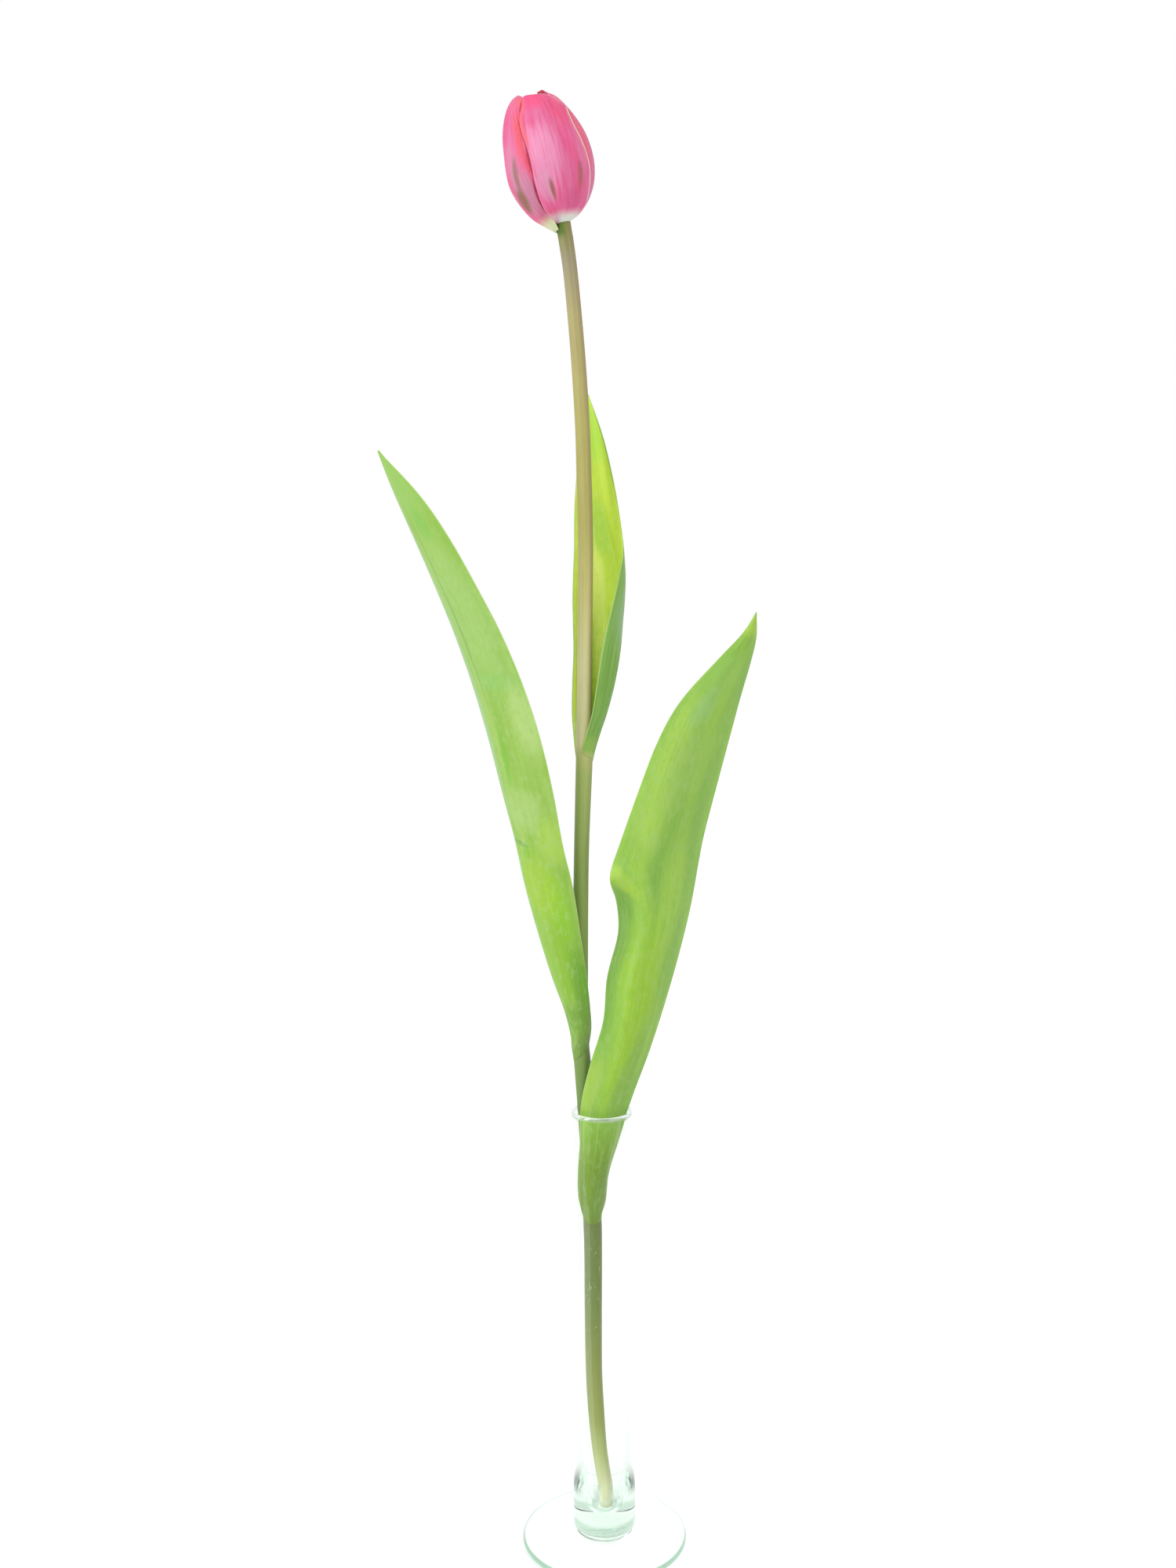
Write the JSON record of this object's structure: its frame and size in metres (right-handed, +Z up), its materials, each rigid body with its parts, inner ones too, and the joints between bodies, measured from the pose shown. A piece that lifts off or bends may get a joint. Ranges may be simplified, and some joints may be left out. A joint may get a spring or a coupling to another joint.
{
  "type": "tulip in bud vase",
  "caption": "Cut double tulip, still in bud, with waved leaves on a long curved stem, standing in a slim clear glass bud vase with a round foot.",
  "frame": {"origin": "centre of the underside of the vase's foot", "axes": "+Z up along the vase, -Y towards the front of the flower, +X to its right as seen from the front"},
  "size_m": [0.1278, 0.06, 0.5146],
  "materials": {
    "glass": "gloss",
    "stem": "satin",
    "leaf": "satin",
    "tepal": "satin",
    "pollen": "matte"
  },
  "bodies": {
    "root": {"vase": "glass", "stem": "stem", "leaf_lower": "leaf", "leaf_middle": "leaf", "leaf_upper": "leaf", "tepal_outer_front": "tepal", "tepal_outer_left": "tepal", "tepal_outer_right": "tepal", "tepal_middle_1": "tepal", "tepal_middle_2": "tepal", "tepal_middle_3": "tepal", "tepal_heart_1": "tepal", "tepal_heart_2": "tepal", "tepal_heart_3": "tepal", "stamens_and_pistil": "pollen"}
  },
  "joints": []
}
